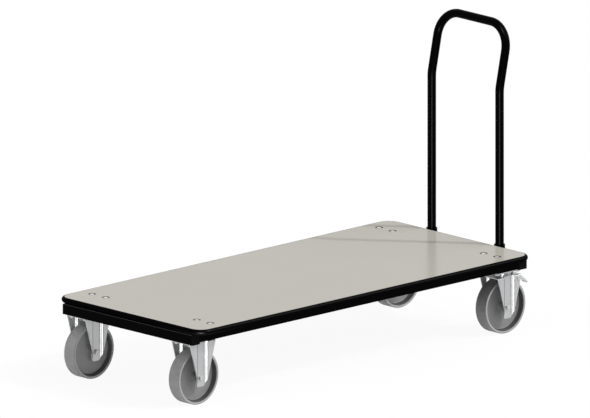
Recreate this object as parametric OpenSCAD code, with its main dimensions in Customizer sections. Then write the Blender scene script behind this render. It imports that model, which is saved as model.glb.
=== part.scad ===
// Flat deck trolley for moving folded banquet tables: a laminated board on a welded tube frame,
// two fixed castors in front, two braked swivel castors behind and a plug-in push handle.
// X runs along the deck towards the handle, Y across it and Z up. The origin lies on the floor
// under the middle of the whole trolley.

/* [Deck] */
// Length of the deck over its edge trim
deck_l = 1336; // [1000:1:1800]
// Width of the deck over its edge trim
deck_w = 600; // [500:1:800]
// Corner radius of the deck over its edge trim
deck_corner_r = 44; // [25:1:80]
// Thickness of the board
board_t = 16; // [12:0.5:25]
// Thickness of the laminate sheet on the board
laminate_t = 1; // [0.6:0.1:2]
// Thickness of the tongue that holds the edge trim
tongue_t = 3; // [2:0.5:5]
// Depth of the tongue in the board's edge
tongue_d = 9; // [5:0.5:14]
// Play of the tongue in its groove
tongue_play = 0.1; // [0.05:0.05:0.3]

/* [Frame] */
// Side of the square cross tubes
cross_tube = 30; // [25:1:40]
// Height of the rectangular side rails
rail_h = 25; // [20:1:30]
// Width of the rectangular side rails
rail_w = 15; // [10:1:18]
// Wall of the frame tubes
tube_wall = 2; // [1.5:0.1:3]
// How far the end cross tubes stand out past the deck's ends
cross_proud = 1; // [0.5:0.5:6]
// How far the frame is set in from the deck's sides
frame_inset = 32; // [20:1:35]
// Flange of the plastic caps in the cross tubes' ends
cap_t = 2; // [1:0.5:4]
// Depth of the caps' plugs in the tubes
cap_plug = 14; // [8:1:25]
// Wall of the caps' hollow plugs
cap_wall = 2; // [1.5:0.1:3]
// Play of the caps' plugs in the tubes
cap_play = 0.1; // [0.05:0.05:0.3]

/* [Handle] */
// Diameter of the handle tube
handle_d = 25; // [22:0.5:28]
// Wall of the handle tube
handle_wall = 1.5; // [1:0.1:2.5]
// Distance between the two posts
post_pitch = 280; // [240:1:360]
// Height of the handle's top above the floor
handle_h = 887; // [820:1:1100]
// Height of the kink above which the handle leans out
kink_h = 694; // [600:1:720]
// Lean of the upper handle
lean = 12; // [5:1:20]
// Centre line radius of the two top bends
top_bend_r = 74; // [60:1:100]
// Centre line radius of the kink
kink_bend_r = 100; // [60:1:150]
// Swelling of the tube's radius in its bends
bend_swell = 0.06; // [0.05:0.01:0.2]
// Flange of the plugs in the posts' lower ends
plug_t = 3; // [2:0.5:5]
// Depth of these plugs in the posts
plug_l = 18; // [10:1:30]
// Play of these plugs in the posts
plug_play = 0.1; // [0.05:0.05:0.3]

/* [Handle sockets] */
// Length of a socket, from the deck's top down
socket_l = 75; // [60:1:76]
// Wall of a socket
socket_wall = 3; // [2:0.1:4]
// Play round a post in its socket
socket_play = 0.5; // [0.3:0.05:0.8]
// Depth of the flat that is welded to the rear cross tube
socket_flat = 1; // [0.4:0.1:1.6]
// Thickness of a socket's floor
socket_floor_t = 3; // [2:0.5:5]
// Drain hole in a socket's floor
drain_d = 8; // [5:0.5:12]

/* [Castor fixings] */
// Distance from the deck's side to a wheel's middle
castor_inset = 84; // [81:1:120]
// Bolt pitch along the trolley
bolt_pitch_x = 80; // [75:1:90]
// Bolt pitch across the trolley
bolt_pitch_y = 56; // [50:1:57]
// Diameter of the castor bolts
bolt_d = 8; // [6:1:8]
// Play round a bolt in its holes
bolt_play = 0.3; // [0.1:0.05:0.5]
// Width across flats of the bolts' hexagons
bolt_flats = 13; // [10:0.5:13]
// Height of the hexagon heads and nuts
bolt_hex_h = 6; // [4:0.5:6.5]
// Thread that shows past a nut
thread_end = 1.5; // [0.5:0.5:2]
// Diameter of the deck bolts' round heads
round_head_d = 16; // [14:0.1:18]
// Height of the round heads
round_head_h = 3; // [2:0.1:5]
// Rise of the dome on a round head
round_dome = 0.6; // [0.4:0.1:1.5]
// Diameter of the plastic cups round these heads
cup_d = 22.4; // [21:0.1:26]
// Thickness of a cup's floor
cup_floor_t = 1; // [0.6:0.1:1.5]
// Play round a cup in the deck and round a head in its cup
cup_play = 0.2; // [0.1:0.05:0.3]
// Depth of cups and heads below the deck's top
cup_sunk = 0.1; // [0.1:0.1:0.5]
// Side of the square weld nuts in the end cross tubes
weld_nut_w = 14; // [12:0.5:16]
// Height of the weld nuts
weld_nut_h = 6.5; // [5:0.5:8]

/* [Wheel] */
// Diameter of a wheel
wheel_d = 160; // [125:1:200]
// Width of the tread
wheel_w = 42; // [32:1:44]
// Thickness of the tyre
tyre_t = 6; // [4:0.5:10]
// Rounding of the tread's edges
tread_edge_r = 1.5; // [1:0.5:4]
// Thickness of the rim's lip at the wheel's face
rim_lip = 1.5; // [1:0.1:3]
// Thickening of the rim from its lip to the web
rim_draft = 3.5; // [2:0.5:6]
// Thickness of the wheel's web
web_t = 11; // [8:0.5:16]
// Set-back of the rim's lip from the tyre's face
rim_set = 0.6; // [0.2:0.1:1.5]
// Radius where the web runs into rim and hub
web_fillet = 4; // [2:0.5:6]
// Diameter of the hub
hub_d = 24; // [23:0.5:34]
// Wall of the plain bush in the hub
bush_wall = 2; // [1.5:0.1:3]
// Outside of the tube that the bush turns on
axle_tube_d = 15; // [14:0.5:17]
// Running clearance of bush and pins
run_play = 0.05; // [0.02:0.01:0.1]
// Side play of a hub between the legs
hub_play = 0.3; // [0.2:0.05:0.6]
// Diameter of the axle bolt
axle_d = 8; // [8:0.5:10]
// Play round the axle bolt
axle_play = 0.2; // [0.05:0.05:0.3]
// Width across flats of the axle bolt's head and nut
axle_flats = 13; // [13:0.5:17]
// Height of the axle bolt's head
axle_head_h = 5.5; // [4:0.5:7]
// Height of the axle nut
axle_nut_h = 6.5; // [5:0.5:8]

/* [Castor yoke] */
// Thickness of the pressed sheet
sheet_t = 3; // [2:0.1:3]
// Distance between the outer faces of the legs' wings
wing_span = 77; // [75:0.5:90]
// Depth of the channel pressed into a leg
channel_d = 9; // [6:0.5:10]
// Width of the channel's flat floor, corner to corner
channel_w = 31.5; // [28:0.5:36]
// Sideways run of a channel wall
channel_run = 4; // [2:0.5:8]
// Inside radius of the channel's bends
bend_r = 2; // [1:0.1:2.4]
// Outside radius of the shoulder between crown and wings
shoulder_r = 4; // [3.2:0.1:5]
// Width of a leg at the height of the frame
leg_top_w = 103; // [98:0.5:110]
// Width of a leg at its foot
leg_foot_w = 28; // [22:0.5:34]
// Depth of a fixed bracket's feet below the axle
bracket_foot_d = 26; // [18:0.5:40]
// Depth of a swivel fork's feet below the axle
fork_foot_d = 34; // [18:0.5:40]
// Rounding of a leg's foot
leg_foot_r = 7; // [3:0.5:10]
// Gap between the wheel and the yoke's crown
crown_gap = 8.5; // [8:0.5:14]

/* [Swivel head] */
// Length of a top plate
plate_l = 105; // [100:1:120]
// Width of a top plate
plate_w = 85; // [80:1:95]
// Thickness of a top plate
plate_t = 3; // [2.5:0.1:4]
// Corner radius of a top plate
plate_corner_r = 8; // [4:0.5:14]
// Height of the swivel head between yoke and top plate
head_h = 13.5; // [12:0.5:18]
// Distance of the swivel axis from the axle
trail = 16; // [10:0.5:17]
// Diameter over the upper race's skirt
race_d = 52; // [50:0.5:54]
// Thickness of that skirt
skirt_t = 2; // [1.5:0.1:3]
// Play between the skirt and the lower race
skirt_play = 0.5; // [0.3:0.1:1]
// Height of each race
race_h = 4; // [3:0.1:5]
// Diameter of the balls
ball_d = 6; // [5.5:0.1:6.5]
// Number of balls in a race
ball_n = 16; // [12:1:17]
// Diameter of the circle of balls
ball_circle = 37; // [34:0.5:38]
// Play round a ball in its races
ball_play = 0.3; // [0.2:0.05:0.4]
// Diameter of the kingpin
kingpin_d = 12; // [10:0.5:14]
// Diameter of the kingpin's heads
kingpin_head_d = 20; // [18:0.5:24]
// Height of the kingpin's lower head
kingpin_foot_h = 4; // [3:0.5:5]
// Play round a head of the kingpin
kingpin_play = 0.3; // [0.2:0.05:0.5]

/* [Brake] */
// Distance of the pedal's pin behind the wheel's axle
pedal_pin_x = 36; // [34:0.5:37]
// Drop of the pedal's pin below the crown
pedal_pin_drop = 8.5; // [8:0.5:9]
// Diameter of the pedal's pin
pedal_pin_d = 6; // [5:0.5:7]
// Diameter of the pin's heads
pin_head_d = 10; // [8:0.5:11]
// Height of the pin's heads
pin_head_h = 2.5; // [1.5:0.5:4]
// Diameter of the pedal's hub
pedal_hub_d = 11; // [10:0.5:12]
// Side play of the pedal's hub between the wings
pedal_play = 0.5; // [0.3:0.1:1]
// Width of the pedal's plate
pedal_w = 22; // [16:1:44]
// Thickness of the pedal's plate
pedal_t = 2.5; // [2:0.1:3]
// Radius of the pedal's curve
pedal_r = 80; // [74:1:90]
// Angle of the pedal's curve
pedal_arc = 52; // [44:1:56]
// Radius of the rolled edge at the pedal's tip
pedal_roll_r = 2.5; // [1.8:0.1:3]
// Number of tread ribs across the pedal
pedal_rib_n = 4; // [2:1:5]
// Place of the first rib along the pedal's curve
rib_from = 32; // [28:0.5:36]
// Place of the last rib along the pedal's curve
rib_to = 46; // [40:0.5:47]
// Radius of these ribs
pedal_rib_r = 1.2; // [0.8:0.1:1.5]
// Turn of the pedal from off to on
brake_turn = 12; // [10:0.5:14]
// Height of the brake shoe's block
shoe_h = 20; // [17:0.5:23]
// Width of the brake shoe
shoe_w = 22; // [16:1:36]
// Start of the brake shoe along the pedal's curve
shoe_from = 8; // [7:0.5:10]
// End of the brake shoe along the pedal's curve
shoe_to = 24; // [20:0.5:28]
// Gap left between shoe and tread when the brake is on
shoe_gap = 0.4; // [0.3:0.1:0.8]

/* [Hidden] */

$fn = 96;
// Overlap that lets a cut run clear through a face
cut = 1;
// Flat steps along a bend of the pressed sheet
bend_steps = 5;
// How far a straight run of the handle tube reaches into its bends
bend_lap = 2;

black = [0.05, 0.05, 0.05];
laminate_grey = [0.78, 0.76, 0.72];
board_brown = [0.55, 0.42, 0.28];
zinc = [0.72, 0.73, 0.75];
tyre_grey = [0.52, 0.52, 0.52];
core_grey = [0.46, 0.46, 0.46];
nylon = [0.9, 0.88, 0.82];

// Heights, from the floor up
wheel_r = wheel_d / 2;
axle_z = wheel_r;
crown_z = wheel_d + crown_gap;
fork_top = crown_z + sheet_t;
plate_z = fork_top + head_h;
frame_z = plate_z + plate_t;
frame_top = frame_z + cross_tube;
deck_t = board_t + laminate_t;
deck_z = frame_top + deck_t;
rail_z = frame_top - rail_h;

// Plan of deck and frame, measured from the deck's middle
trim_r = deck_t / 2;
board_l = deck_l - 2 * trim_r;
board_w = deck_w - 2 * trim_r;
board_corner_r = deck_corner_r - trim_r;
frame_l = deck_l + 2 * cross_proud;
frame_w = deck_w - 2 * frame_inset;
cross_x = frame_l / 2 - cross_tube / 2;
rail_l = frame_l - 2 * cross_tube;
rail_y = frame_w / 2 - rail_w / 2;
cross_l = frame_w - 2 * cap_t;
inner_l = frame_w - 2 * rail_w;
castor_x = cross_x - bolt_pitch_x / 2;
castor_y = deck_w / 2 - castor_inset;
inner_x = castor_x - bolt_pitch_x / 2;

// Handle and sockets
handle_r = handle_d / 2;
socket_bore_r = handle_r + socket_play;
socket_r = socket_bore_r + socket_wall;
post_x = frame_l / 2 + socket_r - socket_flat;
post_y = post_pitch / 2;
socket_z = deck_z - socket_l;
plug_z = socket_z + socket_floor_t;
post_z = plug_z + plug_t;
top_bar_z = handle_h - handle_r - bend_swell;
slope_l = (top_bar_z - kink_h) / cos(lean);
kink_reach = kink_bend_r * tan(lean / 2);
handle_reach = post_x + slope_l * sin(lean) + handle_r + bend_swell;
front_reach = max(frame_l / 2, castor_x + wheel_r);
deck_x = (front_reach - handle_reach) / 2;

// Wheel and yoke, measured from the wheel's middle
core_r = wheel_r - tyre_t;
wing_y = wing_span / 2;
panel_y = wing_y - channel_d;
hub_half = panel_y - sheet_t - hub_play;
tube_half = panel_y - sheet_t;
bush_bore_r = axle_tube_d / 2 + run_play;
bush_r = bush_bore_r + bush_wall;
bolt_hole_r = bolt_d / 2 + bolt_play;
nut_z = plate_z - bolt_hex_h;
head_z = deck_z - cup_sunk - round_head_h;
cup_z = head_z - cup_floor_t;

// Swivel head
lower_race_z = fork_top + race_h;
upper_race_z = plate_z - race_h;
ball_z = (lower_race_z + upper_race_z) / 2;
race_r = race_d / 2;
lower_race_r = race_r - skirt_t - skirt_play;
skirt_z = lower_race_z + skirt_play;
kingpin_hole_r = kingpin_d / 2 + run_play;
kingpin_foot_z = crown_z - kingpin_play - kingpin_foot_h;

// Brake
pedal_pin_z = crown_z - pedal_pin_drop;
pedal_hub_r = pedal_hub_d / 2;
pedal_hub_half = wing_y - sheet_t - pedal_play;
pedal_mid_r = pedal_r - pedal_t / 2;
pedal_curve_z = pedal_pin_z + pedal_hub_r - pedal_r;

// Points on an arc about c, from angle a0 to a1
function arc(c, r, a0, a1) =
    [for (i = [0:bend_steps]) let (a = a0 + (a1 - a0) * i / bend_steps) c + r * [cos(a), sin(a)]];

// The points of a list, last first, mirrored in the second axis
function mirrored(points) = [for (i = [len(points) - 1:-1:0]) [-points[i].x, points[i].y]];

// Half the width of a leg at height z, where its two flanks run straight from foot to frame
function leg_half(z, foot_z) =
    (leg_foot_w + (leg_top_w - leg_foot_w) * (z - foot_z) / (frame_z - foot_z)) / 2;

// Block with rounded upright corners, centred in plan and standing on z = 0
module rounded_slab(l, w, r, t) {
    translate([-l / 2 + r, -w / 2, 0]) cube([l - 2 * r, w, t]);
    for (s = [-1, 1]) {
        translate([s * (l - r) / 2 - r / 2, -w / 2 + r, 0]) cube([r, w - 2 * r, t]);
        for (q = [-1, 1]) {
            translate([s * (l / 2 - r), q * (w / 2 - r), 0])
                rotate(s > 0 ? (q > 0 ? 0 : 270) : (q > 0 ? 90 : 180))
                    rotate_extrude(angle = 90) square([r, t]);
        }
    }
}

// Hexagon with two flats facing across the trolley
module hexagon(flats, h) {
    cylinder(d = flats / cos(30), h = h, $fn = 6);
}

module at_deck_bolts() {
    for (s = [-1, 1], t = [-1, 1], q = [-1, 1]) {
        translate([deck_x + s * inner_x, t * castor_y + q * bolt_pitch_y / 2, 0]) children();
    }
}

module at_frame_bolts() {
    for (s = [-1, 1], t = [-1, 1], q = [-1, 1]) {
        translate([deck_x + s * cross_x, t * castor_y + q * bolt_pitch_y / 2, 0]) children();
    }
}

module bolt_seat() {
    translate([0, 0, cup_z]) cylinder(r = cup_d / 2 + cup_play, h = deck_z - cup_z + cut);
    translate([0, 0, frame_z - cut]) cylinder(r = bolt_hole_r, h = deck_z - frame_z);
}

// Board of plywood with a groove round its edge for the trim and seats for the deck bolts
module deck_board() {
    groove_t = tongue_t + 2 * tongue_play;
    groove_d = tongue_d + tongue_play;
    color(board_brown) difference() {
        translate([deck_x, 0, frame_top]) rounded_slab(board_l, board_w, board_corner_r, board_t);
        translate([deck_x, 0, frame_top + trim_r - groove_t / 2]) difference() {
            rounded_slab(board_l + 2 * cut, board_w + 2 * cut, board_corner_r + cut, groove_t);
            translate([0, 0, -cut])
                rounded_slab(board_l - 2 * groove_d, board_w - 2 * groove_d,
                             board_corner_r - groove_d, groove_t + 2 * cut);
        }
        at_deck_bolts() bolt_seat();
    }
}

// Hard laminate glued on the board
module deck_laminate() {
    color(laminate_grey) difference() {
        translate([deck_x, 0, frame_top + board_t])
            rounded_slab(board_l, board_w, board_corner_r, laminate_t);
        at_deck_bolts() bolt_seat();
    }
}

// Half round section of the edge trim with its tongue, where the board's edge lies at x = 0
module trim_section() {
    difference() {
        circle(r = trim_r);
        translate([-2 * trim_r, -trim_r - cut]) square([2 * trim_r, 2 * trim_r + 2 * cut]);
    }
    translate([-tongue_d, -tongue_t / 2]) square([tongue_d, tongue_t]);
}

// Extruded trim, bent round the board and held by a tongue in its groove
module edge_trim() {
    run_x = board_l - 2 * board_corner_r;
    run_y = board_w - 2 * board_corner_r;
    color(black) {
        translate([deck_x, 0, frame_top + trim_r]) {
            for (s = [0, 180]) {
                rotate(s) translate([-run_x / 2, -board_w / 2, 0])
                    rotate([90, 0, 90]) rotate([0, 0, 180]) linear_extrude(run_x) trim_section();
                rotate(s) translate([board_l / 2, -run_y / 2, 0])
                    rotate([90, 0, 180]) mirror([1, 0, 0]) linear_extrude(run_y) trim_section();
            }
            for (s = [-1, 1], q = [-1, 1]) {
                translate([s * run_x / 2, q * run_y / 2, 0])
                    rotate(s > 0 ? (q > 0 ? 0 : 270) : (q > 0 ? 90 : 180))
                        rotate_extrude(angle = 90) translate([board_corner_r, 0]) trim_section();
            }
        }
    }
}

// Tube of width w and height h along Y, centred in plan and standing on z = 0
module tube_across(l, w, h) {
    difference() {
        translate([-w / 2, -l / 2, 0]) cube([w, l, h]);
        translate([-w / 2 + tube_wall, -l / 2 - cut, tube_wall])
            cube([w - 2 * tube_wall, l + 2 * cut, h - 2 * tube_wall]);
    }
}

// End cross tube with the holes of the castors' outer bolts in its lower wall
module end_cross_tube(s) {
    color(black) difference() {
        translate([deck_x + s * cross_x, 0, frame_z]) tube_across(cross_l, cross_tube, cross_tube);
        at_frame_bolts() translate([0, 0, frame_z - cut]) cylinder(r = bolt_hole_r, h = tube_wall + 2 * cut);
    }
}

module front_cross_tube() {
    end_cross_tube(-1);
}

module rear_cross_tube() {
    end_cross_tube(1);
}

// Inner cross tube between the side rails, drilled through for the deck bolts
module inner_cross_tube(s) {
    color(black) difference() {
        translate([deck_x + s * inner_x, 0, frame_z]) tube_across(inner_l, cross_tube, cross_tube);
        at_deck_bolts() translate([0, 0, frame_z - cut]) cylinder(r = bolt_hole_r, h = cross_tube + 2 * cut);
    }
}

module front_inner_tube() {
    inner_cross_tube(-1);
}

module rear_inner_tube() {
    inner_cross_tube(1);
}

// Side rail, welded between the end cross tubes
module side_rail(s) {
    color(black) translate([deck_x, s * rail_y, rail_z])
        rotate(90) tube_across(rail_l, rail_w, rail_h);
}

module left_side_rail() {
    side_rail(-1);
}

module right_side_rail() {
    side_rail(1);
}

// Moulded caps in the open ends of the end cross tubes
module tube_end_caps() {
    plug_w = cross_tube - 2 * tube_wall - 2 * cap_play;
    color(black) for (s = [-1, 1], q = [-1, 1]) {
        translate([deck_x + s * cross_x, q * frame_w / 2, frame_z + cross_tube / 2])
            rotate([q * 90, 0, 0]) {
                translate([-cross_tube / 2, -cross_tube / 2, 0]) cube([cross_tube, cross_tube, cap_t]);
                translate([-plug_w / 2, -plug_w / 2, cap_t]) difference() {
                    cube([plug_w, plug_w, cap_plug]);
                    translate([cap_wall, cap_wall, 0])
                        cube([plug_w - 2 * cap_wall, plug_w - 2 * cap_wall, cap_plug + cut]);
                }
            }
    }
}

// Socket tube with a floor, flattened where it is welded to the rear cross tube
module handle_socket(s) {
    color(black) difference() {
        translate([deck_x + post_x, s * post_y, socket_z]) difference() {
            cylinder(r = socket_r, h = socket_l);
            translate([0, 0, socket_floor_t]) cylinder(r = socket_bore_r, h = socket_l);
            translate([0, 0, -cut]) cylinder(d = drain_d, h = socket_floor_t + 2 * cut);
        }
        translate([deck_x + frame_l / 2 - socket_r, s * post_y - socket_r, socket_z - cut])
            cube([socket_r, 2 * socket_r, socket_l + 2 * cut]);
    }
}

module left_handle_socket() {
    handle_socket(-1);
}

module right_handle_socket() {
    handle_socket(1);
}

// Round-headed bolts down through deck, inner cross tubes and castor plates
module deck_bolts() {
    end_z = nut_z - thread_end;
    dome_r = (pow(round_head_d / 2, 2) + pow(round_dome, 2)) / (2 * round_dome);
    color(zinc) at_deck_bolts() {
        intersection() {
            translate([0, 0, head_z]) cylinder(d = round_head_d, h = round_head_h);
            translate([0, 0, head_z + round_head_h - dome_r]) sphere(r = dome_r, $fn = 200);
        }
        translate([0, 0, end_z]) cylinder(d = bolt_d, h = head_z - end_z);
    }
}

// Plastic cups, let into the deck round the bolts' heads
module bolt_cups() {
    head_r = round_head_d / 2 + cup_play;
    color(black) at_deck_bolts() rotate_extrude()
        polygon([[bolt_hole_r, cup_z], [cup_d / 2, cup_z], [cup_d / 2, deck_z - cup_sunk],
                 [head_r, deck_z - cup_sunk], [head_r, head_z], [bolt_hole_r, head_z]]);
}

module deck_nuts() {
    color(zinc) at_deck_bolts() translate([0, 0, nut_z]) difference() {
        hexagon(bolt_flats, bolt_hex_h);
        translate([0, 0, -cut]) cylinder(d = bolt_d, h = bolt_hex_h + 2 * cut);
    }
}

// Hexagon bolts up through the castor plates into the end cross tubes
module frame_bolts() {
    bolt_l = plate_t + tube_wall + weld_nut_h + thread_end;
    color(zinc) at_frame_bolts() {
        translate([0, 0, nut_z]) hexagon(bolt_flats, bolt_hex_h);
        translate([0, 0, plate_z]) cylinder(d = bolt_d, h = bolt_l);
    }
}

module weld_nuts() {
    color(zinc) at_frame_bolts() translate([0, 0, frame_z + tube_wall]) difference() {
        translate([-weld_nut_w / 2, -weld_nut_w / 2, 0]) cube([weld_nut_w, weld_nut_w, weld_nut_h]);
        translate([0, 0, -cut]) cylinder(d = bolt_d, h = weld_nut_h + 2 * cut);
    }
}

// Round bar of radius r along the whole handle: posts, kinks, leaning arms, top bends and top bar
module handle_run(r, below) {
    post_end = kink_h - kink_reach;
    arm_l = slope_l - top_bend_r - kink_reach;
    bar_l = post_pitch - 2 * top_bend_r;
    for (s = [-1, 1]) {
        translate([post_x, s * post_y, post_z - below])
            cylinder(r = r, h = post_end - post_z + below + bend_lap);
        translate([post_x + kink_bend_r, s * post_y, post_end]) rotate([90, 0, 180])
            rotate_extrude(angle = lean) translate([kink_bend_r, 0]) circle(r = r + bend_swell);
    }
    translate([post_x, 0, kink_h]) rotate([0, lean, 0]) {
        for (s = [0, 1]) mirror([0, s, 0]) {
            translate([0, post_y, kink_reach - bend_lap]) cylinder(r = r, h = arm_l + 2 * bend_lap);
            translate([0, post_y - top_bend_r, slope_l - top_bend_r]) rotate([90, 0, 90])
                rotate_extrude(angle = 90) translate([top_bend_r, 0]) circle(r = r + bend_swell);
        }
        translate([0, bar_l / 2 + bend_lap, slope_l]) rotate([90, 0, 0])
            cylinder(r = r, h = bar_l + 2 * bend_lap);
    }
}

module push_handle() {
    color(black) translate([deck_x, 0, 0]) difference() {
        handle_run(handle_r, 0);
        handle_run(handle_r - handle_wall, cut);
    }
}

// Plugs that close the posts and stand on the sockets' floors
module handle_end_plugs() {
    color(black) for (s = [-1, 1]) translate([deck_x + post_x, s * post_y, plug_z]) {
        cylinder(r = handle_r, h = plug_t);
        translate([0, 0, plug_t]) cylinder(r = handle_r - handle_wall - plug_play, h = plug_l);
    }
}

// Front castors sit at the deck's free end, rear ones below the handle
module at_castor(end, side) {
    translate([deck_x + end * castor_x, side * castor_y, 0]) children();
}

// Cylinder along Y about the wheel's axle, from y0 to y1
module on_axle(r, y0, y1) {
    translate([0, y1, axle_z]) rotate([90, 0, 0]) cylinder(r = r, h = y1 - y0);
}

// Channel section of one leg, for the skin that lies inset below the sheet's outer face
module channel_section(inset) {
    slope = atan(channel_d / channel_run);
    corner = channel_w / 2;
    upper_c = [corner + channel_run + (bend_r + sheet_t) * tan(slope / 2), wing_y - bend_r - sheet_t];
    lower_c = [corner - bend_r * tan(slope / 2), panel_y + bend_r];
    side = concat(arc(upper_c, bend_r + sheet_t - inset, 90, 90 + slope),
                  arc(lower_c, bend_r + inset, 270 + slope, 270));
    polygon(concat([[upper_c.x, wing_y + cut]], side, mirrored(side), [[-upper_c.x, wing_y + cut]]));
}

// Solid inside one skin of the yoke: a block with round shoulders less the two pressed channels
module yoke_skin(top_z, foot_z, inset) {
    half_y = wing_y - inset;
    r = shoulder_r - inset;
    skin_z = top_z - inset;
    low_z = foot_z - (inset > 0 ? cut : 0);
    length = leg_top_w + 2 * (inset > 0 ? cut : 0);
    difference() {
        union() {
            translate([-length / 2, -half_y, low_z]) cube([length, 2 * half_y, skin_z - r - low_z]);
            translate([-length / 2, -half_y + r, skin_z - r]) cube([length, 2 * half_y - 2 * r, r]);
            for (s = [-1, 1]) {
                translate([-length / 2, s * (half_y - r), skin_z - r]) rotate([90, 0, 90])
                    linear_extrude(length) intersection() {
                        circle(r = r);
                        translate([s > 0 ? 0 : -r, 0]) square(r);
                    }
            }
        }
        for (s = [0, 1]) mirror([0, s, 0])
            translate([0, 0, low_z - cut]) linear_extrude(skin_z - low_z + 2 * cut) channel_section(inset);
    }
}

// Side view of a yoke: straight flanks that narrow to a rounded foot
module yoke_outline(top_z, foot_z) {
    foot_half = leg_half(foot_z, foot_z);
    taper = atan((leg_half(frame_z, foot_z) - foot_half) / (frame_z - foot_z));
    foot_c = [foot_half - leg_foot_r * tan(45 - taper / 2), foot_z + leg_foot_r];
    side = concat([[leg_half(top_z, foot_z), top_z]], arc(foot_c, leg_foot_r, -taper, -90));
    polygon(concat(side, mirrored(side)));
}

// Pressed yoke: crown and two legs in one sheet, each leg stiffened by a channel
module yoke(top_z, foot_z) {
    difference() {
        intersection() {
            difference() {
                yoke_skin(top_z, foot_z, 0);
                yoke_skin(top_z, foot_z, sheet_t);
            }
            translate([0, wing_y + cut, 0]) rotate([90, 0, 0])
                linear_extrude(wing_span + 2 * cut) yoke_outline(top_z, foot_z);
        }
        on_axle(axle_d / 2 + axle_play, -wing_span, wing_span);
    }
}

// Bracket of a fixed castor, bolted to the frame through its crown
module fixed_bracket() {
    color(zinc) difference() {
        yoke(frame_z, axle_z - bracket_foot_d);
        for (s = [-1, 1], q = [-1, 1]) {
            translate([s * bolt_pitch_x / 2, q * bolt_pitch_y / 2, plate_z - cut])
                cylinder(r = bolt_hole_r, h = plate_t + 2 * cut);
        }
    }
}

// Axle bolt through both legs and the axle tube, its head in the near leg's channel
module axle_bolt() {
    color(zinc) {
        translate([0, -panel_y, axle_z]) rotate([90, 0, 0]) rotate(30) hexagon(axle_flats, axle_head_h);
        on_axle(axle_d / 2, -panel_y, panel_y + axle_nut_h + thread_end);
    }
}

module axle_nut() {
    color(zinc) difference() {
        translate([0, panel_y + axle_nut_h, axle_z]) rotate([90, 0, 0]) rotate(30)
            hexagon(axle_flats, axle_nut_h);
        on_axle(axle_d / 2, panel_y - cut, panel_y + axle_nut_h + cut);
    }
}

// Steel tube clamped between the legs, on which the wheel's bush turns
module axle_tube() {
    color(zinc) difference() {
        on_axle(axle_tube_d / 2, -tube_half, tube_half);
        on_axle(axle_d / 2 + axle_play, -tube_half - cut, tube_half + cut);
    }
}

module bush() {
    color(nylon) difference() {
        on_axle(bush_r, -hub_half, hub_half);
        on_axle(bush_bore_r, -hub_half - cut, hub_half + cut);
    }
}

// Turned shape about the wheel's axle, from a profile of radius against width
module turned() {
    translate([0, 0, axle_z]) rotate([90, 0, 0]) rotate_extrude($fn = 160) children();
}

// Moulded wheel body: drafted rim, flat web and hub, with fillets where they meet
module wheel_core() {
    face = wheel_w / 2 - rim_set;
    web = web_t / 2;
    rim_r = core_r - rim_lip - rim_draft;
    hub_r = hub_d / 2;
    f = web_fillet;
    half = concat([[bush_r, hub_half], [hub_r, hub_half]],
                  arc([hub_r + f, web + f], f, 180, 270),
                  arc([rim_r - f, web + f], f, 270, 360),
                  [[core_r - rim_lip, face], [core_r, face]]);
    color(core_grey) turned()
        polygon(concat(half, [for (i = [len(half) - 1:-1:0]) [half[i].x, -half[i].y]]));
}

// Soft grey tyre moulded on the rim
module tyre() {
    half_w = wheel_w / 2;
    e = tread_edge_r;
    half = concat([[core_r, half_w]], arc([wheel_r - e, half_w - e], e, 90, 0));
    color(tyre_grey) turned()
        polygon(concat(half, [for (i = [len(half) - 1:-1:0]) [half[i].x, -half[i].y]]));
}

// Turned shape about the swivel axis
module on_swivel() {
    translate([trail, 0, 0]) rotate_extrude() children();
}

// Ring groove in which the balls run
module ball_groove() {
    translate([ball_circle / 2, ball_z]) circle(r = ball_d / 2 + ball_play);
}

// Top plate with the upper race and its skirt pressed in one piece
module top_plate() {
    color(zinc) difference() {
        union() {
            translate([0, 0, plate_z]) rounded_slab(plate_l, plate_w, plate_corner_r, plate_t);
            on_swivel() polygon([[kingpin_d / 2, plate_z], [race_r, plate_z], [race_r, skirt_z],
                                 [race_r - skirt_t, skirt_z], [race_r - skirt_t, upper_race_z],
                                 [kingpin_d / 2, upper_race_z]]);
        }
        translate([trail, 0, plate_z]) cylinder(r = kingpin_head_d / 2, h = plate_t + cut);
        on_swivel() ball_groove();
        for (s = [-1, 1], q = [-1, 1]) {
            translate([s * bolt_pitch_x / 2, q * bolt_pitch_y / 2, plate_z - cut])
                cylinder(r = bolt_hole_r, h = plate_t + 2 * cut);
        }
    }
}

// Kingpin riveted in the top plate, with a foot that carries the fork
module kingpin() {
    color(zinc) translate([trail, 0, 0]) {
        translate([0, 0, plate_z]) cylinder(d = kingpin_head_d, h = plate_t);
        translate([0, 0, kingpin_foot_z]) cylinder(d = kingpin_d, h = plate_z - kingpin_foot_z);
        translate([0, 0, kingpin_foot_z]) cylinder(d = kingpin_head_d, h = kingpin_foot_h);
    }
}

module balls() {
    color(zinc) translate([trail, 0, ball_z]) for (i = [0:ball_n - 1]) {
        rotate(i * 360 / ball_n) translate([ball_circle / 2, 0, 0]) sphere(d = ball_d, $fn = 32);
    }
}

// Swivel fork: a pressed yoke with the lower race on its crown and holes for the pedal's pin
module swivel_fork() {
    color(zinc) difference() {
        union() {
            yoke(fork_top, axle_z - fork_foot_d);
            on_swivel() polygon([[0, fork_top], [lower_race_r, fork_top],
                                 [lower_race_r, lower_race_z], [0, lower_race_z]]);
        }
        on_swivel() ball_groove();
        translate([trail, 0, crown_z - cut])
            cylinder(r = kingpin_hole_r, h = lower_race_z - crown_z + 2 * cut);
        on_pedal_pin(pedal_pin_d / 2 + run_play, wing_y + cut);
    }
}

// Cylinder along the pedal's pin, to both sides of the wheel's middle
module on_pedal_pin(r, half) {
    translate([pedal_pin_x, half, pedal_pin_z]) rotate([90, 0, 0]) cylinder(r = r, h = 2 * half);
}

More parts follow.
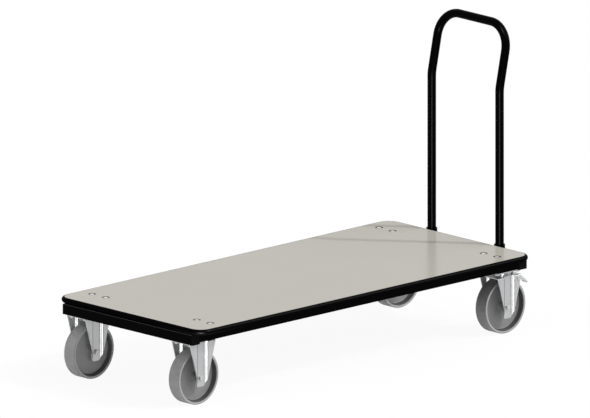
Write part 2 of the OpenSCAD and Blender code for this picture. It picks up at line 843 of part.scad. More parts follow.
module pedal_pin() {
    color(zinc) {
        on_pedal_pin(pedal_pin_d / 2, wing_y + pin_head_h / 2);
        for (s = [0, 1]) mirror([0, s, 0]) translate([pedal_pin_x, wing_y + pin_head_h, pedal_pin_z])
            rotate([90, 0, 0]) cylinder(d = pin_head_d, h = pin_head_h);
    }
}

// Sector of the pedal's curve between two angles from the upright and two radii
module pedal_sector(r0, r1, a0, a1, w) {
    translate([pedal_pin_x, w / 2, pedal_curve_z]) rotate([90, 0, 0]) rotate(90 - a1)
        linear_extrude(w) difference() {
            intersection() {
                circle(r = r1, $fn = 200);
                polygon([[0, 0], [2 * r1, 0], 2 * r1 * [cos(a1 - a0), sin(a1 - a0)]]);
            }
            circle(r = r0, $fn = 200);
        }
}

// Bar across the pedal at angle a and radius r of its curve
module pedal_bar(a, r, bar_r) {
    translate([pedal_pin_x + r * sin(a), pedal_w / 2, pedal_curve_z + r * cos(a)])
        rotate([90, 0, 0]) cylinder(r = bar_r, h = pedal_w, $fn = 32);
}

// Foot pedal: a curved plate on a hub, with a rolled tip and ribs to tread on
module brake_pedal() {
    rib_step = (rib_to - rib_from) / (pedal_rib_n - 1);
    color(zinc) difference() {
        union() {
            on_pedal_pin(pedal_hub_r, pedal_hub_half);
            pedal_sector(pedal_r - pedal_t, pedal_r, 0, pedal_arc, pedal_w);
            pedal_bar(pedal_arc, pedal_mid_r, pedal_roll_r);
            for (i = [0:pedal_rib_n - 1]) pedal_bar(rib_from + i * rib_step, pedal_r, pedal_rib_r);
        }
        on_pedal_pin(pedal_pin_d / 2 + run_play, wing_y);
    }
}

// Brake shoe under the pedal, hollowed to the tread it meets when the brake is on
module brake_shoe() {
    color(black) difference() {
        pedal_sector(pedal_r - pedal_t - shoe_h, pedal_r - pedal_t, shoe_from, shoe_to, shoe_w);
        translate([pedal_pin_x, 0, pedal_pin_z]) rotate([0, -brake_turn, 0])
            translate([-pedal_pin_x, wheel_w / 2, axle_z - pedal_pin_z])
                rotate([90, 0, 0]) cylinder(r = wheel_r + shoe_gap, h = wheel_w, $fn = 200);
    }
}

module front_left_bracket() at_castor(-1, -1) fixed_bracket();
module front_left_axle_bolt() at_castor(-1, -1) axle_bolt();
module front_left_axle_nut() at_castor(-1, -1) axle_nut();
module front_left_axle_tube() at_castor(-1, -1) axle_tube();
module front_left_bush() at_castor(-1, -1) bush();
module front_left_wheel_core() at_castor(-1, -1) wheel_core();
module front_left_tyre() at_castor(-1, -1) tyre();
module front_right_bracket() at_castor(-1, 1) fixed_bracket();
module front_right_axle_bolt() at_castor(-1, 1) axle_bolt();
module front_right_axle_nut() at_castor(-1, 1) axle_nut();
module front_right_axle_tube() at_castor(-1, 1) axle_tube();
module front_right_bush() at_castor(-1, 1) bush();
module front_right_wheel_core() at_castor(-1, 1) wheel_core();
module front_right_tyre() at_castor(-1, 1) tyre();
module rear_left_top_plate() at_castor(1, -1) top_plate();
module rear_left_kingpin() at_castor(1, -1) kingpin();
module rear_left_balls() at_castor(1, -1) balls();
module rear_left_fork() at_castor(1, -1) swivel_fork();
module rear_left_axle_bolt() at_castor(1, -1) axle_bolt();
module rear_left_axle_nut() at_castor(1, -1) axle_nut();
module rear_left_axle_tube() at_castor(1, -1) axle_tube();
module rear_left_bush() at_castor(1, -1) bush();
module rear_left_wheel_core() at_castor(1, -1) wheel_core();
module rear_left_tyre() at_castor(1, -1) tyre();
module rear_left_brake_pedal() at_castor(1, -1) brake_pedal();
module rear_left_brake_shoe() at_castor(1, -1) brake_shoe();
module rear_left_pedal_pin() at_castor(1, -1) pedal_pin();
module rear_right_top_plate() at_castor(1, 1) top_plate();
module rear_right_kingpin() at_castor(1, 1) kingpin();
module rear_right_balls() at_castor(1, 1) balls();
module rear_right_fork() at_castor(1, 1) swivel_fork();
module rear_right_axle_bolt() at_castor(1, 1) axle_bolt();
module rear_right_axle_nut() at_castor(1, 1) axle_nut();
module rear_right_axle_tube() at_castor(1, 1) axle_tube();
module rear_right_bush() at_castor(1, 1) bush();
module rear_right_wheel_core() at_castor(1, 1) wheel_core();
module rear_right_tyre() at_castor(1, 1) tyre();
module rear_right_brake_pedal() at_castor(1, 1) brake_pedal();
module rear_right_brake_shoe() at_castor(1, 1) brake_shoe();
module rear_right_pedal_pin() at_castor(1, 1) pedal_pin();

deck_board();
deck_laminate();
edge_trim();
front_cross_tube();
rear_cross_tube();
front_inner_tube();
rear_inner_tube();
left_side_rail();
right_side_rail();
tube_end_caps();
left_handle_socket();
right_handle_socket();
deck_bolts();
bolt_cups();
deck_nuts();
frame_bolts();
weld_nuts();
push_handle();
handle_end_plugs();
front_left_bracket();
front_left_axle_bolt();
front_left_axle_nut();
front_left_axle_tube();
front_left_bush();
front_left_wheel_core();
front_left_tyre();
front_right_bracket();
front_right_axle_bolt();
front_right_axle_nut();
front_right_axle_tube();
front_right_bush();
front_right_wheel_core();
front_right_tyre();
rear_left_top_plate();
rear_left_kingpin();
rear_left_balls();
rear_left_fork();
rear_left_axle_bolt();
rear_left_axle_nut();
rear_left_axle_tube();
rear_left_bush();
rear_left_wheel_core();
rear_left_tyre();
rear_left_brake_pedal();
rear_left_brake_shoe();
rear_left_pedal_pin();
rear_right_top_plate();
rear_right_kingpin();
rear_right_balls();
rear_right_fork();
rear_right_axle_bolt();
rear_right_axle_nut();
rear_right_axle_tube();
rear_right_bush();
rear_right_wheel_core();
rear_right_tyre();
rear_right_brake_pedal();
rear_right_brake_shoe();
rear_right_pedal_pin();
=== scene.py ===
import math

import bpy
from mathutils import Matrix, Vector


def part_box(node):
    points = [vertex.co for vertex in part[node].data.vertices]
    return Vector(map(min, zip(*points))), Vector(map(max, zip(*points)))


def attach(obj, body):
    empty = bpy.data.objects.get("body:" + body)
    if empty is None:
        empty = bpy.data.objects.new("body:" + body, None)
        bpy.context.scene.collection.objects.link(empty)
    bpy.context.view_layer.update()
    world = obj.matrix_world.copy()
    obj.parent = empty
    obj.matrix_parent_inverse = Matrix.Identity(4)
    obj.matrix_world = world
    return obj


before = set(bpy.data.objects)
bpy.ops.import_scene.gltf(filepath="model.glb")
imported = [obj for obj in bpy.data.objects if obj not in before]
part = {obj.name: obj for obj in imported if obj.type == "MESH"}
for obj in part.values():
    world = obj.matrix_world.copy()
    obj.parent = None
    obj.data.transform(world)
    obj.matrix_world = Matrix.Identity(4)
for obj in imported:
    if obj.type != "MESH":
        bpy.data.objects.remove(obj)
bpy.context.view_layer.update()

# Welded frame: square steel tubes across, flatter tubes along the sides and two sockets behind.
# All of it is powder coated black after welding, which leaves a fine orange peel in the satin film.
# A thin grey line along the front tube's upper edge is painted on as a highlight.


class Shade:
    """A value in a finish's node tree that takes part in plain arithmetic."""

    def __init__(self, tree, socket):
        self.tree = tree
        self.socket = socket

    def feed(self, node, values):
        """Sets or links the sockets of a node."""
        for place, value in values.items():
            if isinstance(value, Shade):
                self.tree.links.new(value.socket, node.inputs[place])
            else:
                node.inputs[place].default_value = value

    def make(self, kind, settings, values, out=0):
        """Adds a node of that kind: its settings first, then its sockets."""
        node = self.tree.nodes.new(kind)
        for name, value in settings.items():
            setattr(node, name, value)
        self.feed(node, values)
        return Shade(self.tree, node.outputs[out])

    def math(self, operation, first, second):
        return self.make("ShaderNodeMath", {"operation": operation}, {0: first, 1: second})

    def __add__(self, other):
        return self.math("ADD", self, other)

    def __radd__(self, other):
        return self.math("ADD", other, self)

    def __sub__(self, other):
        return self.math("SUBTRACT", self, other)

    def __rsub__(self, other):
        return self.math("SUBTRACT", other, self)

    def __mul__(self, other):
        return self.math("MULTIPLY", self, other)

    def __rmul__(self, other):
        return self.math("MULTIPLY", other, self)

    def __truediv__(self, other):
        return self.math("DIVIDE", self, other)

    def __rtruediv__(self, other):
        return self.math("DIVIDE", other, self)

    def __abs__(self):
        return self.math("ABSOLUTE", self, 0.0)

    def step(self, low, high):
        """Runs smoothly from 0 at low to 1 at high."""
        return self.make("ShaderNodeMapRange", {"interpolation_type": "SMOOTHSTEP"},
                         {"Value": self, "From Min": low, "From Max": high})

    def blend(self, colour_at_0, colour_at_1):
        """Mixes two colours by this value."""
        return self.make("ShaderNodeMix", {"data_type": "RGBA"},
                         {0: self, 6: colour_at_0, 7: colour_at_1}, out=2)

    def grain(self, scale, detail=2.0):
        """Cloudy noise at this place, with about that many clouds to the metre."""
        return self.make("ShaderNodeTexNoise", {},
                         {"Vector": self, "Scale": scale, "Detail": detail})

    def stretched(self, along_x, along_y, along_z):
        """This place with its three axes drawn out or pressed together."""
        return self.make("ShaderNodeMapping", {},
                         {"Vector": self, "Scale": (along_x, along_y, along_z)})

    def facing(self):
        """The direction in which the surface faces at this place."""
        return Shade(self.tree, self.socket.node.outputs["Normal"])

    def axis(self, name):
        """One coordinate of this place or direction."""
        return self.make("ShaderNodeSeparateXYZ", {}, {0: self}, out="XYZ".index(name))

    def relief(self, strength, depth):
        """The surface normal over this height."""
        return self.make("ShaderNodeBump", {},
                         {"Strength": strength, "Distance": depth, "Height": self})


def colour(red, green, blue):
    return (red, green, blue, 1.0)


def grey(level):
    return colour(level, level, level)


def new_finish(name):
    """A new finish: its material, its surface and the place on the object."""
    material = bpy.data.materials.new(name)
    material.use_nodes = True
    tree = material.node_tree
    place = Shade(tree, tree.nodes.new("ShaderNodeTexCoord").outputs["Object"])
    return material, tree.nodes["Principled BSDF"], place


def give(material, slot, *pieces):
    """Puts a finish on CAD pieces. The slot it is given is not used."""
    for name in pieces:
        part[name].data.materials.clear()
        part[name].data.materials.append(material)


powder_coat, surface, place = new_finish("black powder coat")
cloud = place.grain(9.0, 4.0)
front_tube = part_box("front_cross_tube")
front_face = front_tube[0].x
tube_high = front_tube[1].z
edge_line_width = 0.0012
near_top = place.axis("Z").step(tube_high - edge_line_width, tube_high - 0.6 * edge_line_width)
behind_edge = place.axis("X").step(front_face + edge_line_width, front_face + 2.0 * edge_line_width)
# Painted highlight: a thin grey line along the upper front edge of the front tube.
painted_edge_highlight = near_top * (1.0 - behind_edge)
coat = cloud.blend(colour(0.0008, 0.0008, 0.0009), colour(0.0015, 0.0015, 0.0016))
place.feed(surface, {
    "Base Color": painted_edge_highlight.blend(coat, grey(0.048)),
    "Roughness": 0.27 + 0.05 * cloud,
    "Specular IOR Level": 0.011,
    "Normal": place.grain(700.0).relief(0.005, 0.0002)})
give(powder_coat, "frame", "front_cross_tube", "rear_cross_tube",
     "front_inner_tube", "rear_inner_tube", "left_side_rail", "right_side_rail",
     "left_handle_socket", "right_handle_socket")

# Weld seams of the frame: short beads of rippled weld metal where one tube butts against the next.
# They lie in the corners under the deck and beside the sockets, below the same coat of powder.
bead_width = 0.005
bead_pitch = 0.0016
bead_off_flat = 0.0012
rear_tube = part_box("rear_cross_tube")
front_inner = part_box("front_inner_tube")
rear_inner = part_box("rear_inner_tube")
left_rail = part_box("left_side_rail")
left_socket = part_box("left_handle_socket")
rail_inside = -left_rail[1].y
rail_outside = -left_rail[0].y
rail_low = left_rail[0].z
tube_low = rear_tube[0].z
socket_y = -(left_socket[0].y + left_socket[1].y) / 2
socket_radius = (left_socket[1].y - left_socket[0].y) / 2
socket_depth = left_socket[1].x - left_socket[0].x - socket_radius
flat_half = math.sqrt(socket_radius ** 2 - socket_depth ** 2)
seams = []
for side in (-1, 1):
    # A rail's ends on the cross tubes
    for butt in (front_tube[1].x, rear_tube[0].x):
        foot = (butt, side * rail_inside, rail_low)
        seams.append((foot, (butt, side * rail_inside, tube_high)))
        seams.append((foot, (butt, side * (rail_outside - bead_width), rail_low)))
    # The inner tubes on that rail
    for inner in (front_inner, rear_inner):
        for edge in (inner[0].x, inner[1].x):
            y = side * rail_inside
            seams.append(((edge, y, rail_low), (edge, y, tube_high)))
    # The socket's flat back on the rear tube
    for edge in (-1, 1):
        y = side * socket_y + edge * (flat_half + bead_off_flat)
        seams.append(((rear_tube[1].x, y, tube_low), (rear_tube[1].x, y, tube_high)))

bead_tree = bpy.data.node_groups.new("weld bead", "GeometryNodeTree")
bead_tree.interface.new_socket("Seams", in_out="INPUT", socket_type="NodeSocketGeometry")
for size in ("Bead width", "Bead pitch"):
    bead_tree.interface.new_socket(size, in_out="INPUT", socket_type="NodeSocketFloat")
bead_tree.interface.new_socket("Beads", in_out="OUTPUT", socket_type="NodeSocketGeometry")


def tree_node(tree, kind, settings, links):
    """Adds a node to a shape tree: its settings first, then its sockets."""
    node = tree.nodes.new(kind)
    for name, value in settings.items():
        setattr(node, name, value)
    for place_in, value in links.items():
        if isinstance(value, bpy.types.NodeSocket):
            tree.links.new(value, node.inputs[place_in])
        else:
            node.inputs[place_in].default_value = value
    return node.outputs


given = tree_node(bead_tree, "NodeGroupInput", {}, {})
line = tree_node(bead_tree, "GeometryNodeMeshToCurve", {}, {"Mesh": given["Seams"]})
ripples = tree_node(bead_tree, "GeometryNodeResampleCurve", {"mode": "LENGTH"},
                    {"Curve": line["Curve"], "Length": given["Bead pitch"]})
radius = tree_node(bead_tree, "ShaderNodeMath", {"operation": "MULTIPLY"},
                   {0: given["Bead width"], 1: 0.5})
drop = tree_node(bead_tree, "GeometryNodeMeshIcoSphere", {},
                 {"Radius": radius[0], "Subdivisions": 2})
beads = tree_node(bead_tree, "GeometryNodeInstanceOnPoints", {},
                  {"Points": ripples["Curve"], "Instance": drop["Mesh"]})
solid = tree_node(bead_tree, "GeometryNodeRealizeInstances", {}, {"Geometry": beads["Instances"]})
smooth = tree_node(bead_tree, "GeometryNodeSetShadeSmooth", {}, {"Geometry": solid["Geometry"]})
coated = tree_node(bead_tree, "GeometryNodeSetMaterial", {},
                   {"Geometry": smooth["Geometry"], "Material": powder_coat})
tree_node(bead_tree, "NodeGroupOutput", {}, {"Beads": coated["Geometry"]})


def grow(name, lines, tree, sizes):
    """Runs a shape tree over a set of lines and keeps the result as a plain mesh."""
    sketch = bpy.data.meshes.new(name + "_lines")
    points = [end for line_ends in lines for end in line_ends]
    sketch.from_pydata(points, [(2 * i, 2 * i + 1) for i in range(len(lines))], [])
    guide = bpy.data.objects.new(name + "_lines", sketch)
    bpy.context.scene.collection.objects.link(guide)
    modifier = guide.modifiers.new("shape", "NODES")
    modifier.node_group = tree
    for item in tree.interface.items_tree:
        if item.name in sizes:
            modifier[item.identifier] = sizes[item.name]
    now = bpy.context.evaluated_depsgraph_get()
    made = bpy.data.meshes.new_from_object(guide.evaluated_get(now))
    bpy.data.objects.remove(guide)
    piece = bpy.data.objects.new(name, made)
    bpy.context.scene.collection.objects.link(piece)
    return piece


weld_seams = grow("weld_seams", seams, bead_tree,
                  {"Bead width": bead_width, "Bead pitch": bead_pitch})
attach(weld_seams, "chassis")

# Small parts moulded in black plastic: the caps in the open ends of the cross tubes, the plugs in
# the ends of the handle's posts and the cups round the deck bolts. They are pressed in.
black_plastic, surface, place = new_finish("black moulded plastic")
place.feed(surface, {
    "Base Color": place.grain(60.0).blend(grey(0.001), grey(0.002)),
    "Roughness": 0.46 + 0.1 * place.grain(240.0),
    "Specular IOR Level": 0.03,
    "Normal": place.grain(1500.0).relief(0.12, 0.0003)})
give(black_plastic, "black_plastic", "tube_end_caps", "handle_end_plugs", "bolt_cups")

# Castor yokes and top plates: pressed from steel sheet and plated with bright zinc, which is pale
# with faint clouds. Painted shade darkens the upright faces turned along X at the bends, and
# the faces towards the handle's side are painted nearly black as shade.
zinc_plate, surface, place = new_finish("bright zinc on pressed steel")
cloud = place.grain(35.0, 5.0)
facing = place.facing()
upright = 1.0 - abs(facing.axis("Z")).step(0.1, 0.3)
# Painted shade: upright faces turned along X are darkened, those facing the handle's side most.
painted_bend_shade = upright * abs(facing.axis("X")).step(0.2, 0.6)
painted_crease_shade = upright * facing.axis("X").step(0.04, 0.2)
plating = cloud.blend(colour(0.46, 0.465, 0.47), colour(0.51, 0.515, 0.52))
plating_with_painted_shade = painted_bend_shade.blend(plating, colour(0.29, 0.293, 0.296))
place.feed(surface, {
    "Base Color": painted_crease_shade.blend(plating_with_painted_shade, colour(0.05, 0.05, 0.052)),
    "Metallic": 0.6,
    "Roughness": 0.27 + 0.06 * cloud,
    "Normal": place.grain(420.0).relief(0.02, 0.0004)})
fixed_castors = ("front_left_", "front_right_")
swivel_castors = ("rear_left_", "rear_right_")
castors = fixed_castors + swivel_castors
give(zinc_plate, "zinc", *(castor + "bracket" for castor in fixed_castors))
for castor in swivel_castors:
    give(zinc_plate, "zinc", castor + "top_plate", castor + "fork")

# Brake pedals: pressed levers of steel strip, hung on a pin between the fork's cheeks.
# Feet have rubbed their plating to a brighter, smoother skin than that of the forks.
pedal_steel, surface, place = new_finish("rubbed zinc on the pedals")
rubs = place.stretched(1.0, 3.0, 1.0).grain(140.0, 4.0)
place.feed(surface, {
    "Base Color": rubs.blend(grey(0.70), grey(0.80)),
    "Metallic": 0.5,
    "Roughness": 0.30 + 0.12 * rubs,
    "Normal": rubs.relief(0.05, 0.0003)})
give(pedal_steel, "zinc", *(castor + "brake_pedal" for castor in swivel_castors))

# Brake shoes: blocks of hard black rubber bonded under the pedals, hollowed to fit the tread.
# Their faces are dull and a little worn where they rub.
shoe_rubber, surface, place = new_finish("hard black rubber")
worn = place.grain(150.0, 4.0)
place.feed(surface, {
    "Base Color": worn.step(0.4, 0.75).blend(grey(0.014), grey(0.032)),
    "Roughness": 0.62 + 0.2 * worn,
    "Normal": worn.relief(0.15, 0.0005)})
give(shoe_rubber, "shoe", *(castor + "brake_shoe" for castor in swivel_castors))

# Turned and headed steel: bolts, nuts, axles, kingpins, pins and balls, all zinc plated.
# They are brighter than the pressings and carry fine turning marks round their axes.
bright_steel, surface, place = new_finish("bright zinc on turned steel")
marks = place.stretched(1.0, 1.0, 14.0).grain(160.0, 3.0)
place.feed(surface, {
    "Base Color": marks.blend(grey(0.50), grey(0.60)),
    "Metallic": 0.7,
    "Roughness": 0.28 + 0.14 * marks,
    "Normal": marks.relief(0.05, 0.0003)})
give(bright_steel, "zinc", "deck_nuts", "frame_bolts", "weld_nuts")
for castor in castors:
    give(bright_steel, "zinc", castor + "axle_bolt", castor + "axle_nut", castor + "axle_tube")
for castor in swivel_castors:
    give(bright_steel, "zinc", castor + "kingpin", castor + "balls", castor + "pedal_pin")

# Wheel bodies: moulded in grey plastic with a deep dish on each side, a thin rim and a hub.
# The dish has the dull, slightly flowed skin of a thick moulding, and painted shade darkens its outer
# corner.
front_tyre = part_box("front_left_tyre")
rear_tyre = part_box("rear_left_tyre")
wheel_radius = (front_tyre[1].z - front_tyre[0].z) / 2
axle_reach = (rear_tyre[0].x - front_tyre[0].x) / 2
middle_x = (rear_tyre[1].x + front_tyre[0].x) / 2


def share_of_radius(spot):
    """Distance of a place from its wheel's axle, as a share of the wheel's radius."""
    from_middle = spot.axis("X") - middle_x
    along = abs(from_middle) - axle_reach
    height = spot.axis("Z") - wheel_radius
    return spot.math("POWER", along * along + height * height, 0.5) / wheel_radius


wheel_plastic, surface, place = new_finish("grey wheel plastic")
flow = place.stretched(1.0, 0.4, 1.0).grain(45.0, 3.0)
from_axle = share_of_radius(place)
dish_shade_starts = 0.805
dish_shade_full = 0.855
rim_starts = 0.900
rim_full = 0.908
by_the_rim = from_axle.step(dish_shade_starts, dish_shade_full) * (1.0 - from_axle.step(rim_starts, rim_full))
dish_floor = abs(place.facing().axis("Y")).step(0.5, 0.9)
# Painted shade in the dish's outer corner, strongest on the wall by the rim.
painted_dish_shade = by_the_rim * (1.0 - 0.7 * dish_floor) * (0.75 + 0.25 * flow)
skin = flow.blend(grey(0.212), grey(0.242))
place.feed(surface, {
    "Base Color": painted_dish_shade.blend(skin, grey(0.035)),
    "Roughness": 0.45 + 0.1 * flow,
    "Normal": place.grain(700.0).relief(0.07, 0.0004)})
give(wheel_plastic, "wheel_body", *(castor + "wheel_core" for castor in castors))

# Tyres: a band of grey elastic rubber moulded on to the wheel body, smooth across the tread.
# Its flat side faces are given a paler grey than the tread, which is scuffed where it rolls.
tread_rubber, surface, place = new_finish("grey tread rubber")
scuff = place.stretched(1.0, 0.25, 1.0).grain(120.0, 4.0)
side_face = abs(place.facing().axis("Y")).step(0.80, 0.98)
rounding_starts = 0.955
rounding_full = 0.975
rounded_edge = share_of_radius(place).step(rounding_starts, rounding_full)
rolled = scuff.step(0.35, 0.7).blend(grey(0.20), grey(0.235))
place.feed(surface, {
    "Base Color": (side_face * (1.0 - rounded_edge)).blend(rolled, grey(0.40)),
    "Roughness": 0.50 + 0.12 * scuff,
    "Normal": place.grain(800.0).relief(0.1, 0.0004)})
give(tread_rubber, "tyre", *(castor + "tyre" for castor in castors))

# Wheel bushes: plain sleeves of natural nylon, pressed into the wheels' hubs.
# They run on the axle tubes and are left in the pale, waxy colour of the material.
natural_nylon, surface, place = new_finish("natural nylon")
place.feed(surface, {
    "Base Color": place.grain(80.0).blend(colour(0.70, 0.67, 0.60), colour(0.78, 0.75, 0.68)),
    "Roughness": 0.38 + 0.1 * place.grain(300.0)})
give(natural_nylon, "nylon", *(castor + "bush" for castor in castors))

# Deck board: plywood, held down by the castor bolts, with its crossed plies bare in the bolt seats.
# A dark film backs it underneath, and the veneer's pores still show through that film.
plywood, surface, place = new_finish("plywood")
figure = place.stretched(1.5, 26.0, 26.0).grain(6.0, 6.0)
pores = place.stretched(9.0, 420.0, 420.0).grain(3.0, 3.0)
ply_thickness = 0.0016
ply = place.math("PINGPONG", place.axis("Z"), ply_thickness) / ply_thickness
veneer = figure.step(0.3, 0.72).blend(colour(0.36, 0.235, 0.125), colour(0.52, 0.37, 0.22))
end_grain = ply.step(0.35, 0.65) * 0.25 * pores.step(0.35, 0.65)
wood = end_grain.blend(veneer, colour(0.22, 0.13, 0.06))
film = pores.blend(colour(0.016, 0.013, 0.011), colour(0.026, 0.021, 0.018))
below = (0.0 - place.facing().axis("Z")).step(0.5, 0.9)
place.feed(surface, {
    "Base Color": below.blend(wood, film),
    "Roughness": 0.58 + 0.16 * pores,
    "Normal": pores.relief(0.2, 0.0004)})
give(plywood, "board", "deck_board")

# Deck surface: a sheet of hard warm grey laminate glued on the board, cut flush with its edge.
# Its satin skin has a very fine hammered grain, and mirrors what stands on it softly.
laminate, surface, place = new_finish("warm grey laminate")
tone = place.grain(3.0, 3.0)
place.feed(surface, {
    "Base Color": tone.blend(colour(0.443, 0.426, 0.383), colour(0.461, 0.443, 0.398)),
    "Roughness": 0.16 + 0.04 * place.grain(25.0, 3.0),
    "Specular IOR Level": 0.03,
    "Normal": place.grain(650.0, 3.0).relief(0.035, 0.0004)})
give(laminate, "laminate", "deck_laminate")

# Edge trim: a black half-round plastic extrusion knocked into a groove round the board's edge.
# It is drawn smooth, so its satin skin shows a long soft highlight. Underneath it has gone dull.
trim_plastic, surface, place = new_finish("black extruded trim")
drawn = place.stretched(2.0, 2.0, 160.0).grain(5.0, 2.0)
dull = (0.0 - place.facing().axis("Z")).step(0.1, 0.5)
place.feed(surface, {
    "Base Color": drawn.blend(grey(0.0006), grey(0.0011)),
    "Roughness": 0.34 + 0.06 * drawn + 0.6 * dull,
    "Specular IOR Level": 0.007,
    "Normal": place.grain(1000.0).relief(0.06, 0.0003)})
give(trim_plastic, "trim", "edge_trim")

# Deck bolts: round heads, polished before plating, flush with the laminate in their dark cups.
# The crown of each head is painted pale as a highlight, and the rest of the head near-black as
# painted shade.
polished, surface, place = new_finish("polished bolt heads")
rubs = place.grain(300.0, 4.0)
crown_starts = 0.9937
crown_full = 0.9956
# Painted light: a pale highlight on the top facets and painted shade on the rest of each head.
crown = place.facing().axis("Z").step(crown_starts, crown_full)
bright = rubs.blend(grey(0.72), grey(0.82))
place.feed(surface, {
    "Base Color": crown.blend(grey(0.01), bright),
    "Metallic": 0.5 * crown,
    "Specular IOR Level": 0.1,
    "Roughness": 0.30 + 0.1 * rubs})
give(polished, "zinc", "deck_bolts")

# Push handle: one steel tube, bent twice at the kink and twice at the top, coated like the frame.
# It stands loose in its two sockets and lifts out.
give(powder_coat, "frame", "push_handle")

# Photo stage: a pale floor, as of painted board, that fades into a white surround.
# The floor is seen almost white and keeps the trolley's shadow faintly.
scene = bpy.context.scene
scene.view_settings.view_transform = "Standard"
world = bpy.data.worlds.new("white surround")
scene.world = world
world.use_nodes = True
white = grey(1.0)


def seen_by_eye(tree):
    """Is 1 for what the camera sees, also in gloss and glass, and 0 for light on the trolley."""
    rays = tree.nodes.new("ShaderNodeLightPath").outputs
    straight = Shade(tree, rays["Is Camera Ray"])
    glossy = Shade(tree, rays["Is Glossy Ray"])
    through = Shade(tree, rays["Is Transmission Ray"])
    return straight.math("MAXIMUM", straight.math("MAXIMUM", straight, glossy), through)


sky_light = 0.40
seen = seen_by_eye(world.node_tree)
seen.feed(world.node_tree.nodes["Background"],
          {"Color": white, "Strength": sky_light + (1.0 - sky_light) * seen})

floor_mesh = bpy.data.meshes.new("floor")
floor_half = 6.0
corners = [(x * floor_half, y * floor_half, 0.0) for x, y in ((-1, -1), (1, -1), (1, 1), (-1, 1))]
floor_mesh.from_pydata(corners, [], [(0, 1, 2, 3)])
floor = bpy.data.objects.new("floor", floor_mesh)
scene.collection.objects.link(floor)
pale, surface, place = new_finish("pale floor")
away = place.make("ShaderNodeVectorMath", {"operation": "LENGTH"},
                  {0: place.stretched(1.0, 1.4, 1.0)}, out="Value")
place.feed(surface, {"Base Color": grey(0.96), "Roughness": 0.9, "Specular IOR Level": 0.0})
white_share = 0.93
fade_starts = 0.9
fade_full = 1.6
whitened = place.make("ShaderNodeMixShader", {}, {
    0: white_share * seen_by_eye(pale.node_tree),
    1: Shade(pale.node_tree, surface.outputs[0]),
    2: place.make("ShaderNodeEmission", {}, {"Color": white, "Strength": 1.0})})
faded = place.make("ShaderNodeMixShader", {}, {
    0: away.step(fade_starts, fade_full),
    1: whitened,
    2: place.make("ShaderNodeBsdfTransparent", {}, {})})
place.feed(pale.node_tree.nodes["Material Output"], {"Surface": faded})
floor_mesh.materials.append(pale)

# Studio lamps for the whole trolley: a sharp and a broad one high on the right, which give the
# handle's shadow on the deck, and a low one in front, which no gloss mirrors.


def hang_lamp(name, kind, towards, energy):
    """Adds a lamp that shines in that direction."""
    light = bpy.data.lights.new(name, kind)
    light.energy = energy
    lamp = bpy.data.objects.new(name, light)
    lamp.rotation_euler = Vector(towards).to_track_quat("-Z", "Y").to_euler()
    scene.collection.objects.link(lamp)
    return lamp


def hang_sun(name, towards, energy, degrees):
    """Adds a far lamp that looks that wide from the trolley."""
    lamp = hang_lamp(name, "SUN", towards, energy)
    lamp.data.angle = math.radians(degrees)
    return lamp


from_right = (-0.48, 0.60, -0.72)
hang_sun("sharp lamp", from_right, energy=1.2, degrees=2.2)
hang_sun("broad lamp", from_right, energy=1.55, degrees=60.0)
front_lamp = hang_sun("front lamp", (0.97, -0.10, -0.20), energy=1.2, degrees=20.0)
front_lamp.visible_glossy = False

# Lamps for single pieces, flagged off from all others: a fill for the castors in the deck's shade,
# and small bright ones that only show as light lines and gleams on smooth faces.


def light_only(lamp, pieces):
    """Keeps a lamp's light on the named pieces."""
    lit = bpy.data.collections.new("lit by " + lamp.name)
    for piece in pieces:
        lit.objects.link(part[piece])
    lamp.light_linking.receiver_collection = lit


fill_lamp = hang_sun("fill lamp under the deck", (0.48, 0.87, -0.08), energy=1.3, degrees=40.0)
fill_lamp.visible_glossy = False
light_only(fill_lamp, ("front_right_wheel_core", "front_right_tyre", "front_right_bracket",
                       "rear_right_wheel_core", "rear_right_tyre", "rear_right_fork"))


def stand_strip(name, spot, towards, power, size, pieces, degrees=180.0):
    """Stands up a strip lamp that only shows as a light line, with a beam that wide."""
    lamp = hang_lamp(name, "AREA", towards, power)
    lamp.location = spot
    lamp.data.shape = "RECTANGLE"
    lamp.data.size, lamp.data.size_y = size
    lamp.data.spread = math.radians(degrees)
    lamp.visible_camera = False
    lamp.visible_diffuse = False
    light_only(lamp, pieces)
    lamp.light_linking.blocker_collection = lamp.light_linking.receiver_collection


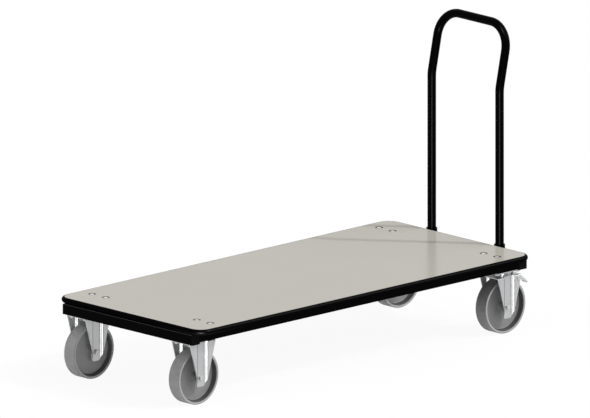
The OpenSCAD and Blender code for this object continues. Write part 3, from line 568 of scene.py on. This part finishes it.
def hang_gleam(name, towards, energy, degrees, piece):
    """Hangs up a far lamp that only shows as a gleam on one piece."""
    lamp = hang_sun(name, towards, energy, degrees)
    lamp.visible_diffuse = False
    light_only(lamp, (piece,))


stand_strip("strip lamp for the castors", spot=(-12.0, -4.35, 0.35), towards=(0.94, 0.33, 0.0),
            power=4700.0, size=(0.60, 0.60),
            pieces=("front_left_bracket", "front_right_bracket", "rear_left_fork", "rear_right_fork"))
stand_strip("strip lamp for the handle", spot=(-1.44, -2.3, -0.32), towards=(0.70, 0.72, 0.0),
            power=215.0, size=(0.12, 0.60), pieces=("push_handle",))
hang_gleam("lamp for the trim", from_right, energy=15.0, degrees=10.0, piece="edge_trim")
hang_gleam("lamp for the handle's bend", (0.41, 0.20, -0.88), energy=6.0, degrees=4.0,
           piece="push_handle")
near_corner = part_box("edge_trim")[0]
before_corner = (near_corner.x - 0.55, near_corner.y - 0.57, 0.03)
stand_strip("strip lamp for the trim", spot=before_corner, towards=(0.676, 0.700, 0.229),
            power=2.1, size=(0.10, 0.06), pieces=("edge_trim",), degrees=16.0)

# Camera: it looks along parallel lines, down on the near corner of the deck.
# Its height, its shift to the right and the width of its view place the trolley in the frame.
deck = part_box("deck_laminate")
right = Vector((0.7181, -0.6959, 0.0)).normalized()
ahead = Vector((0.6757, 0.6973, -0.2391)).normalized()
up = right.cross(ahead)
aim_height = 0.4311
aim_shift = 0.00066
view_width = 1.6954
camera_distance = 8.0
aim = Vector(((deck[0].x + deck[1].x) / 2, 0.0, aim_height)) + aim_shift * right
camera_data = bpy.data.cameras.new("camera")
camera_data.type = "ORTHO"
camera_data.ortho_scale = view_width
camera_data.clip_end = 50.0
camera = bpy.data.objects.new("camera", camera_data)
stand = aim - camera_distance * ahead
camera.matrix_world = Matrix(((right.x, up.x, -ahead.x, stand.x),
                              (right.y, up.y, -ahead.y, stand.y),
                              (right.z, up.z, -ahead.z, stand.z),
                              (0.0, 0.0, 0.0, 1.0)))
scene.collection.objects.link(camera)
scene.camera = camera
